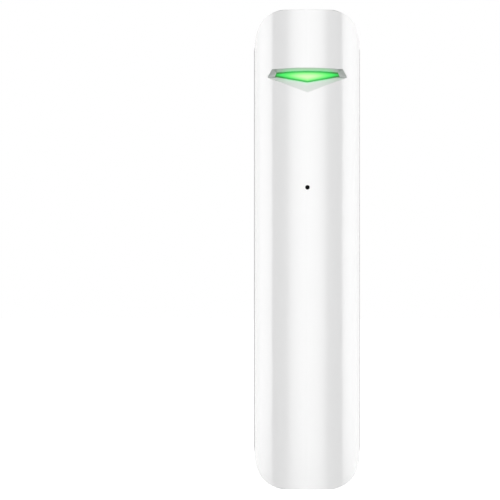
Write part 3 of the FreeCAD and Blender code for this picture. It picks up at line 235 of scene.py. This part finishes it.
class Graph:
    """One node tree, with short calls for the nodes that the materials share."""

    def __init__(self, tree):
        self.tree = tree
        tree.nodes.clear()

    def add(self, kind, **settings):
        node = self.tree.nodes.new(kind)
        for name, value in settings.items():
            setattr(node, name, value)
        return node

    def join(self, source, target):
        self.tree.links.new(source, target)

    def feed(self, node, socket, value):
        """Sets a socket, or links it when the value is another node's output."""
        if isinstance(value, bpy.types.NodeSocket):
            self.join(value, node.inputs[socket])
        else:
            node.inputs[socket].default_value = value

    def math(self, operation, *values, clamp=False):
        node = self.add("ShaderNodeMath", operation=operation, use_clamp=clamp)
        for index, value in enumerate(values):
            self.feed(node, index, value)
        return node.outputs[0]

    def ramp(self, value, low, high, to_low=0.0, to_high=1.0, smooth=True):
        """The value moved from one range to another, smoothly at both ends."""
        kind = "SMOOTHSTEP" if smooth else "LINEAR"
        node = self.add("ShaderNodeMapRange", interpolation_type=kind)
        for name, number in (("Value", value), ("From Min", low), ("From Max", high),
                             ("To Min", to_low), ("To Max", to_high)):
            self.feed(node, name, number)
        return node.outputs["Result"]

    def mix(self, share, first, second):
        """Two colours mixed by a share."""
        node = self.add("ShaderNodeMix", data_type="RGBA")
        self.feed(node, "Factor", share)
        for name, colour in (("A", first), ("B", second)):
            socket = next(s for s in node.inputs if s.name == name and s.type == "RGBA")
            if isinstance(colour, bpy.types.NodeSocket):
                self.join(colour, socket)
            else:
                socket.default_value = (*colour, 1.0)
        return next(s for s in node.outputs if s.type == "RGBA")

    def place(self):
        """The place on the object, in millimetres of its own frame."""
        source = self.add("ShaderNodeTexCoord").outputs["Object"]
        scaled = self.add("ShaderNodeVectorMath", operation="SCALE")
        self.join(source, scaled.inputs[0])
        scaled.inputs["Scale"].default_value = 1 / MM
        return scaled.outputs[0]

    def noise(self, place, size, detail=2.0):
        """Smooth noise with features of one size in millimetres."""
        node = self.add("ShaderNodeTexNoise")
        self.join(place, node.inputs["Vector"])
        node.inputs["Scale"].default_value = 1 / size
        node.inputs["Detail"].default_value = detail
        return node.outputs["Fac"]

    def worn(self, place, size, values):
        """A roughness that wanders between two values, over patches of one size in millimetres."""
        return self.ramp(self.noise(place, size), *NOISE_SPAN, *values)

    def soft_edges(self, radius):
        """The surface's normal with its edges rounded, as a moulded piece has them."""
        node = self.add("ShaderNodeBevel", samples=4)
        node.inputs["Radius"].default_value = radius * MM
        return node.outputs["Normal"]

    def hollows(self, reach):
        """1 on open faces, and less in corners and recesses as deep as a reach in millimetres."""
        node = self.add("ShaderNodeAmbientOcclusion", samples=8)
        node.inputs["Distance"].default_value = reach * MM
        return node.outputs["AO"]

    def bump(self, height, depth, normal=None):
        """A bump of one depth in millimetres."""
        node = self.add("ShaderNodeBump")
        node.inputs["Distance"].default_value = depth * MM
        self.join(height, node.inputs["Height"])
        if normal is not None:
            self.join(normal, node.inputs["Normal"])
        return node.outputs["Normal"]


def new_material(name):
    """A material with a Principled shader, its graph and that shader."""
    made = bpy.data.materials.new(name)
    made.use_nodes = True
    graph = Graph(made.node_tree)
    shader = graph.add("ShaderNodeBsdfPrincipled")
    output = graph.add("ShaderNodeOutputMaterial")
    graph.join(shader.outputs["BSDF"], output.inputs["Surface"])
    return made, graph, shader


def tinted(colour, share):
    """A colour made darker or lighter by a share."""
    return tuple(min(1.0, channel * share) for channel in colour)


def mottled(graph, size, colour, share, detail=2.0):
    """A colour that wanders a little, over patches of one size in millimetres."""
    noise = graph.noise(graph.place(), size, detail)
    return graph.mix(noise, tinted(colour, 1 - share), tinted(colour, 1 + share))


def finish(name, colour, roughness, grain, depth, metallic=0.0, edge=0.08, hollow_shade=0.0):
    """A moulded or metal finish: a little mottling, a fine grain, softened edges, and painted shade that
    darkens its hollows.
    """
    made, graph, shader = new_material(name)
    place = graph.place()
    base = mottled(graph, MOTTLE_SIZE, colour, MOTTLE, detail=3.0)
    # Painted shade: corners and recesses darkened by their ambient occlusion.
    if hollow_shade:
        unshaded_share = graph.ramp(graph.hollows(HOLLOW_SHADE_REACH), *HOLLOW_SHADE_OPEN)
        base = graph.mix(unshaded_share, tinted(colour, 1 - hollow_shade), base)
    graph.feed(shader, "Base Color", base)
    worn = graph.worn(place, grain * WEAR_SIZE, (roughness * (1 - WEAR), roughness * (1 + WEAR)))
    graph.feed(shader, "Roughness", worn)
    shader.inputs["Metallic"].default_value = metallic
    normal = graph.soft_edges(edge) if edge else None
    graph.feed(shader, "Normal", graph.bump(graph.noise(place, grain), depth, normal))
    return made


def cover_material():
    """Polished white plastic: glossy, with the faint waviness of a moulded skin, painted shade on the walls
    of the light window's pocket and the guide's green light painted on them.
    """
    made, graph, shader = new_material("cover_white")
    place = graph.place()
    # The cover's white, with painted shade and painted green light in the light window's pocket.
    colour, glow = pocket_colours(graph, mottled(graph, COVER_MOTTLE_SIZE, COVER_WHITE, COVER_MOTTLE))
    graph.feed(shader, "Base Color", colour)
    graph.feed(shader, "Emission Color", glow)
    shader.inputs["Emission Strength"].default_value = 1.0
    graph.feed(shader, "Roughness", graph.worn(place, COVER_PATCH, COVER_ROUGHNESS))
    shader.inputs["IOR"].default_value = COVER_INDEX
    shader.inputs["Coat Weight"].default_value = 1.0
    shader.inputs["Coat Roughness"].default_value = COVER_ROUGHNESS[0]
    normal = graph.bump(graph.noise(place, COVER_WAVE), COVER_WAVE_DEPTH, graph.soft_edges(COVER_EDGE))
    graph.feed(shader, "Normal", normal)
    graph.feed(shader, "Coat Normal", normal)
    return made


def pocket_colours(graph, white):
    """The cover's colour and glow: painted shade on the pocket's walls, darkest above the window and at its
    ends, and the guide's green light painted on the walls beside it as a tint and a glow.
    """
    across, up, inside = window_place(graph)
    outside = graph.math("MULTIPLY", inside, -1.0)
    pocket = graph.math("MULTIPLY", skin_depth(graph), graph.ramp(outside, *POCKET_BAND, 1.0, 0.0))
    # Masks for the painted shade: the pocket's walls, more of it above the window and at its ends.
    above = graph.math("MULTIPLY", pocket, graph.ramp(up, *POCKET_ABOVE_RISE))
    ends = graph.math("MULTIPLY", pocket, graph.ramp(across, *POCKET_ENDS_SPAN))
    ends = graph.math("MULTIPLY", ends, graph.ramp(up, *POCKET_ENDS_RISE))
    # Painted green light: a tint on the rim next to the lens, and a glow on the walls nearer its middle.
    bright = graph.math("MULTIPLY", pocket, graph.ramp(across, *LEAK_SPAN, 1.0, 0.0))
    ring = graph.math("MULTIPLY", bright, graph.ramp(outside, *RING_BAND, RING_SHARE, 0.0))
    leak = graph.math("MULTIPLY", bright, graph.ramp(outside, *LEAK_BAND, 1.0, 0.0))
    leak = graph.math("MULTIPLY", leak, graph.ramp(up, GLOW_RISE, GLOW_TOP_RISE, LEAK_BELOW, 1.0))
    # Painted shade on the pocket's walls.
    shaded_white = graph.mix(above, graph.mix(pocket, white, POCKET_WALL_SHADE), POCKET_ABOVE_SHADE)
    shaded_white = graph.mix(ends, shaded_white, POCKET_ENDS_SHADE)
    return graph.mix(ring, shaded_white, RING_GREEN_LIGHT), graph.mix(leak, (0.0, 0.0, 0.0), LEAK_GREEN_LIGHT)


def skin_depth(graph):
    """0 on the cover's outer skin, and 1 a little below it."""
    split = graph.add("ShaderNodeSeparateXYZ")
    graph.join(graph.place(), split.inputs[0])
    across = graph.math("POWER", graph.math("DIVIDE", split.outputs["X"], SKIN_HALF), 2.0)
    ahead = graph.math("SUBTRACT", split.outputs["Y"], SKIN_CENTRE_Y)
    ahead = graph.math("POWER", graph.math("DIVIDE", ahead, SKIN_DEPTH), 2.0)
    return graph.ramp(graph.math("ADD", across, ahead), *SKIN_EDGE)


def window_place(graph):
    """Where a point lies from the lamp's centre, across and up, and how far inside the lens's outline."""
    low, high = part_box("status_lamp")
    split = graph.add("ShaderNodeSeparateXYZ")
    graph.join(graph.place(), split.inputs[0])
    across = graph.math("ABSOLUTE", split.outputs["X"])
    up = graph.math("SUBTRACT", split.outputs["Z"], (low.z + high.z) / 2 / MM)
    return across, up, window_edge(graph, across, up)


def window_edge(graph, across, up):
    """How far a point of the lens lies inside its six-sided outline, in millimetres."""
    slope = (GLOW_TIP_FALL + GLOW_RISE) / GLOW_HALF
    low = graph.math("MULTIPLY_ADD", across, slope, -GLOW_TIP_FALL)
    bow = graph.math("POWER", graph.math("DIVIDE", across, GLOW_TOP_HALF), 2.0)
    high = graph.math("MULTIPLY_ADD", bow, -GLOW_ARCH, GLOW_TOP_RISE + GLOW_ARCH)
    above = graph.math("SUBTRACT", up, low)
    below = graph.math("SUBTRACT", high, up)
    beside = graph.math("SUBTRACT", GLOW_HALF, across)
    return graph.math("MINIMUM", graph.math("MINIMUM", above, below), beside)


def lens_material():
    """The clear guide lit from inside: a pale yellow core, green round it, dimmer at its rim and ends."""
    made, graph, shader = new_material("guide_green")
    across, up, inside = window_place(graph)
    rim = graph.math("MULTIPLY", graph.ramp(inside, *GLOW_RIM_BAND),
                     graph.ramp(across, *GLOW_FADE_SPAN, 1.0, GLOW_FADE_LEFT))
    core = graph.math("MULTIPLY", graph.ramp(inside, *GLOW_CORE_BAND),
                      graph.ramp(across, *GLOW_CORE_SPAN, 1.0, 0.0))
    dark = graph.math("MULTIPLY", graph.ramp(inside, *GLOW_DARK_BAND, 1.0, 0.0),
                      graph.ramp(across, *GLOW_DARK_SPAN))
    glow = graph.mix(core, graph.mix(rim, GLOW_RIM, GLOW_GREEN), GLOW_CORE)
    graph.feed(shader, "Base Color", graph.mix(rim, LENS_RIM, LENS_GREEN))
    graph.feed(shader, "Emission Color", graph.mix(dark, glow, GLOW_DARK))
    shader.inputs["Emission Strength"].default_value = GLOW_STRENGTH
    shader.inputs["Specular IOR Level"].default_value = LENS_GLOSS
    graph.feed(shader, "Roughness", graph.worn(graph.place(), LENS_PATCH, LENS_ROUGHNESS))
    return made


def screen_material():
    """Black threads that cross, with small gaps between them painted darker still, as painted shade of the
    dark port behind.
    """
    made, graph, shader = new_material("screen_weave")
    split = graph.add("ShaderNodeSeparateXYZ")
    graph.join(graph.place(), split.inputs[0])
    waves = [graph.math("SINE", graph.math("MULTIPLY", split.outputs[axis], math.pi / SCREEN_THREAD))
             for axis in ("X", "Z")]
    weave = graph.math("MULTIPLY", *waves)
    # Painted shade in the gaps between the threads.
    graph.feed(shader, "Base Color", graph.mix(graph.ramp(weave, -1.0, 1.0), SCREEN_GAP_SHADE, SCREEN_THREADS))
    shader.inputs["Roughness"].default_value = SCREEN_ROUGHNESS
    shader.inputs["Specular IOR Level"].default_value = SCREEN_GLOSS
    graph.feed(shader, "Normal", graph.bump(weave, SCREEN_DEPTH))
    return made


def label_material():
    """Smooth blank film with a very fine sheen."""
    made, graph, shader = new_material("label_white")
    place = graph.place()
    graph.feed(shader, "Base Color", mottled(graph, LABEL_MOTTLE_SIZE, LABEL_FILM, LABEL_MOTTLE))
    graph.feed(shader, "Roughness", graph.worn(place, LABEL_PATCH, LABEL_ROUGHNESS))
    graph.feed(shader, "Normal", graph.bump(graph.noise(place, LABEL_WAVE), LABEL_WAVE_DEPTH))
    return made


def board_material():
    """Green solder mask over tracks, which show as slightly raised and lighter lines."""
    made, graph, shader = new_material("board_green")
    place = graph.place()
    brick = graph.add("ShaderNodeTexBrick")
    graph.join(place, brick.inputs["Vector"])
    for socket, value in (("Scale", 1.0), ("Mortar Size", TRACK_GAP), ("Brick Width", TRACK_LENGTH),
                          ("Row Height", TRACK_PITCH)):
        brick.inputs[socket].default_value = value
    tracks = brick.outputs["Fac"]
    graph.feed(shader, "Base Color", graph.mix(tracks, BOARD_MASK, TRACK_MASK))
    graph.feed(shader, "Roughness", graph.worn(place, BOARD_PATCH, BOARD_ROUGHNESS))
    graph.feed(shader, "Normal", graph.bump(tracks, TRACK_RISE))
    return made


def make_materials():
    """Every finish, by the record's material slots."""
    materials = {"cover_white": cover_material(), "guide_green": lens_material(),
                 "label_white": label_material(), "board_green": board_material()}
    for name, values in FINISHES.items():
        materials[name] = finish(name, **values)
    return materials


def dress():
    """Gives every piece the finish of its slot in the record."""
    materials = make_materials()
    slots = {row["node"]: row["material_slot"] for row in frame["record"]["subparts"]}
    for name, piece in frame["nodes"].items():
        piece.data.materials.clear()
        piece.data.materials.append(materials[slots[name]])
    return materials


def new_piece(name, points, faces, material):
    """A new mesh of one material, linked to the scene."""
    mesh = bpy.data.meshes.new(name)
    mesh.from_pydata(points, [], faces)
    mesh.materials.append(material)
    piece = bpy.data.objects.new(name, mesh)
    bpy.context.scene.collection.objects.link(piece)
    return piece


def add_screen():
    """The screen that keeps dust out of the microphone, in the boot's port behind the sound hole."""
    low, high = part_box("microphone_boot")
    front = low.y + SCREEN_GAP * MM
    back = front + SCREEN_THICKNESS * MM
    points = []
    for y in (front, back):
        for step in range(SCREEN_SIDES):
            turn = 2 * math.pi * step / SCREEN_SIDES
            across, up = (SCREEN_RADIUS * MM * part for part in (math.cos(turn), math.sin(turn)))
            points.append(((low.x + high.x) / 2 + across, y, (low.z + high.z) / 2 + up))
    ring = range(SCREEN_SIDES)
    faces = [list(ring), [SCREEN_SIDES + step for step in reversed(ring)]]
    faces += [(step, SCREEN_SIDES + step, SCREEN_SIDES + (step + 1) % SCREEN_SIDES, (step + 1) % SCREEN_SIDES)
              for step in ring]
    screen = new_piece("sound_screen", points, faces, screen_material())
    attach(screen, "case")


def slab(low, high):
    """The corners and faces of a box between two corners."""
    points = [(x, y, z) for x in (low[0], high[0]) for y in (low[1], high[1]) for z in (low[2], high[2])]
    faces = [(0, 1, 3, 2), (4, 6, 7, 5), (0, 4, 5, 1), (2, 3, 7, 6), (0, 2, 6, 4), (1, 5, 7, 3)]
    return points, faces


def add_lips(grey):
    """A thin lip behind each side's seam, along its straight run."""
    low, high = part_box("front_cover")
    for side, name in ((-1, "seam_lip_left"), (1, "seam_lip_right")):
        outer = side * (high.x - LIP_WALL * MM)
        inner = outer - side * LIP_THICKNESS * MM
        front, back = (SEAM_Y - LIP_REACH) * MM, (SEAM_Y + LIP_REACH) * MM
        points, faces = slab((min(inner, outer), front, low.z + LIP_END * MM),
                             (max(inner, outer), back, high.z - LIP_END * MM))
        lip = new_piece(name, points, faces, grey)
        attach(lip, "case")


# The studio.


def direction(angle):
    """A level direction at an angle round the case: 0 is the front and 90 the right side."""
    turn = math.radians(angle)
    return Vector((math.sin(turn), -math.cos(turn), 0.0))


def strip_lamp(name, start, end, radiance, rise=0.0):
    """A flat upright lamp whose ends stand at two angles round the case, unseen by the camera."""
    middle = Vector(((LOW.x + HIGH.x) / 2, (LOW.y + HIGH.y) / 2, (LOW.z + HIGH.z) / 2))
    first, last = (middle + direction(angle) * STRIP_DISTANCE for angle in (start, end))
    width = (last - first).length
    data = bpy.data.lights.new(name, "AREA")
    data.shape = "RECTANGLE"
    data.size, data.size_y = width, STRIP_HEIGHT
    data.energy = radiance * math.pi * width * STRIP_HEIGHT
    lamp = bpy.data.objects.new(name, data)
    bpy.context.scene.collection.objects.link(lamp)
    lamp.location = (first + last) / 2 + Vector((0, 0, rise))
    lamp.rotation_mode = "QUATERNION"
    lamp.rotation_quaternion = (middle - lamp.location).to_track_quat("-Z", "Y")
    lamp.visible_camera = False
    return lamp


def graded(lamp, curve):
    """Makes a lamp's strength follow a curve of the angle round the case, in degrees from the front."""
    lamp.data.use_nodes = True
    graph = Graph(lamp.data.node_tree)
    split = graph.add("ShaderNodeSeparateXYZ")
    graph.join(graph.add("ShaderNodeNewGeometry").outputs["Position"], split.inputs[0])
    across = graph.math("ABSOLUTE", split.outputs["X"])
    ahead = graph.math("SUBTRACT", (LOW.y + HIGH.y) / 2, split.outputs["Y"])
    angle = graph.math("DEGREES", graph.math("ARCTAN2", across, ahead))
    emission, output = graph.add("ShaderNodeEmission"), graph.add("ShaderNodeOutputLight")
    graph.feed(emission, "Strength", curve(graph, angle))
    graph.join(emission.outputs[0], output.inputs["Surface"])


def front_curve(graph, angle):
    """Falls slowly from the middle of the strip, and then to nothing at its soft end."""
    share = graph.math("POWER", graph.math("DIVIDE", angle, FRONT_STRIP_END - FRONT_STRIP_SOFT / 2), 2.0)
    slow = graph.math("MULTIPLY_ADD", share, -FRONT_STRIP_FALL, 1.0, clamp=True)
    end = graph.ramp(angle, FRONT_STRIP_END - FRONT_STRIP_SOFT, FRONT_STRIP_END, 1.0, 0.0)
    return graph.math("MULTIPLY", slow, end)


def side_curve(graph, angle):
    """Fades from the side of the case to its wall side."""
    return graph.ramp(angle, SIDE_STRIP_FADE, SIDE_STRIP_TO, 1.0, SIDE_STRIP_LEFT)


def add_lamps():
    """A front strip, one at each side behind the case, and a raised one for its back."""
    front = strip_lamp("front_lamp", -FRONT_STRIP_END, FRONT_STRIP_END, FRONT_STRIP_RADIANCE)
    graded(front, front_curve)
    for side, name in ((1, "right_lamp"), (-1, "left_lamp")):
        beside = strip_lamp(name, side * SIDE_STRIP_FROM, side * SIDE_STRIP_TO, SIDE_STRIP_RADIANCE)
        graded(beside, side_curve)
    strip_lamp("rear_lamp", REAR_LAMP_FROM, REAR_LAMP_TO, REAR_LAMP_RADIANCE, REAR_LAMP_RISE)


def seen_directly(graph):
    """1 for rays of the camera, of a glossy reflection or through glass, and 0 for other rays."""
    path = graph.add("ShaderNodeLightPath")
    seen = graph.math("ADD", path.outputs["Is Camera Ray"], path.outputs["Is Glossy Ray"])
    return graph.math("ADD", seen, path.outputs["Is Transmission Ray"], clamp=True)


def add_world():
    """A soft sky, brighter above than below, that is seen as plain white."""
    world = bpy.data.worlds.new("studio")
    bpy.context.scene.world = world
    world.use_nodes = True
    graph = Graph(world.node_tree)
    split = graph.add("ShaderNodeSeparateXYZ")
    graph.join(graph.add("ShaderNodeTexCoord").outputs["Generated"], split.inputs[0])
    sky, white = graph.add("ShaderNodeBackground"), graph.add("ShaderNodeBackground")
    graph.feed(sky, "Strength", graph.ramp(split.outputs["Z"], -1.0, 1.0, SKY_BELOW, SKY_ABOVE, smooth=False))
    white.inputs["Strength"].default_value = BACKGROUND_WHITE
    for background in (sky, white):
        background.inputs["Color"].default_value = (1.0, 1.0, 1.0, 1.0)
    mixed, output = graph.add("ShaderNodeMixShader"), graph.add("ShaderNodeOutputWorld")
    graph.join(seen_directly(graph), mixed.inputs[0])
    graph.join(sky.outputs[0], mixed.inputs[1])
    graph.join(white.outputs[0], mixed.inputs[2])
    graph.join(mixed.outputs[0], output.inputs["Surface"])


def floor_material():
    """A pale floor, seen as white with a soft part of the shadow on it, and not seen from below."""
    made = bpy.data.materials.new("floor_white")
    made.use_nodes = True
    graph = Graph(made.node_tree)
    plain, shaded = graph.add("ShaderNodeBsdfDiffuse"), graph.add("ShaderNodeBsdfDiffuse")
    plain.inputs["Color"].default_value = (FLOOR_ALBEDO,) * 3 + (1.0,)
    shaded.inputs["Color"].default_value = (FLOOR_SHADE,) * 3 + (1.0,)
    white = graph.add("ShaderNodeEmission")
    white.inputs["Strength"].default_value = FLOOR_SEEN
    seen, mixed = graph.add("ShaderNodeAddShader"), graph.add("ShaderNodeMixShader")
    output = graph.add("ShaderNodeOutputMaterial")
    graph.join(shaded.outputs[0], seen.inputs[0])
    graph.join(white.outputs[0], seen.inputs[1])
    graph.join(seen_directly(graph), mixed.inputs[0])
    graph.join(plain.outputs[0], mixed.inputs[1])
    graph.join(seen.outputs[0], mixed.inputs[2])
    sided = graph.add("ShaderNodeMixShader")
    graph.join(graph.add("ShaderNodeNewGeometry").outputs["Backfacing"], sided.inputs[0])
    graph.join(mixed.outputs[0], sided.inputs[1])
    graph.join(graph.add("ShaderNodeBsdfTransparent").outputs[0], sided.inputs[2])
    graph.join(sided.outputs[0], output.inputs["Surface"])
    return made


def add_floor():
    """The floor, a little below the case, which hangs on its bracket."""
    height = LOW.z - FLOOR_DROP
    corners = [(x * FLOOR_HALF, y * FLOOR_HALF, height) for x, y in ((-1, -1), (1, -1), (1, 1), (-1, 1))]
    new_piece("floor", corners, [(0, 1, 2, 3)], floor_material())


def add_camera():
    """The camera of the photograph."""
    data = bpy.data.cameras.new("camera")
    data.sensor_width = SENSOR_WIDTH
    data.lens = SENSOR_WIDTH * CAMERA_DISTANCE * PIXELS_PER_METRE / PHOTO_PIXELS
    data.clip_start, data.clip_end = CAMERA_CLIP
    camera = bpy.data.objects.new("camera", data)
    bpy.context.scene.collection.objects.link(camera)
    camera.location = (CAMERA_X, LOW.y - CAMERA_DISTANCE, CAMERA_Z)
    camera.rotation_euler = (math.radians(90), 0, 0)
    bpy.context.scene.camera = camera


add_camera()
add_world()
add_lamps()
add_floor()
finishes = dress()
add_screen()
add_lips(finishes["case_grey"])
bpy.context.scene.view_settings.view_transform = "Standard"
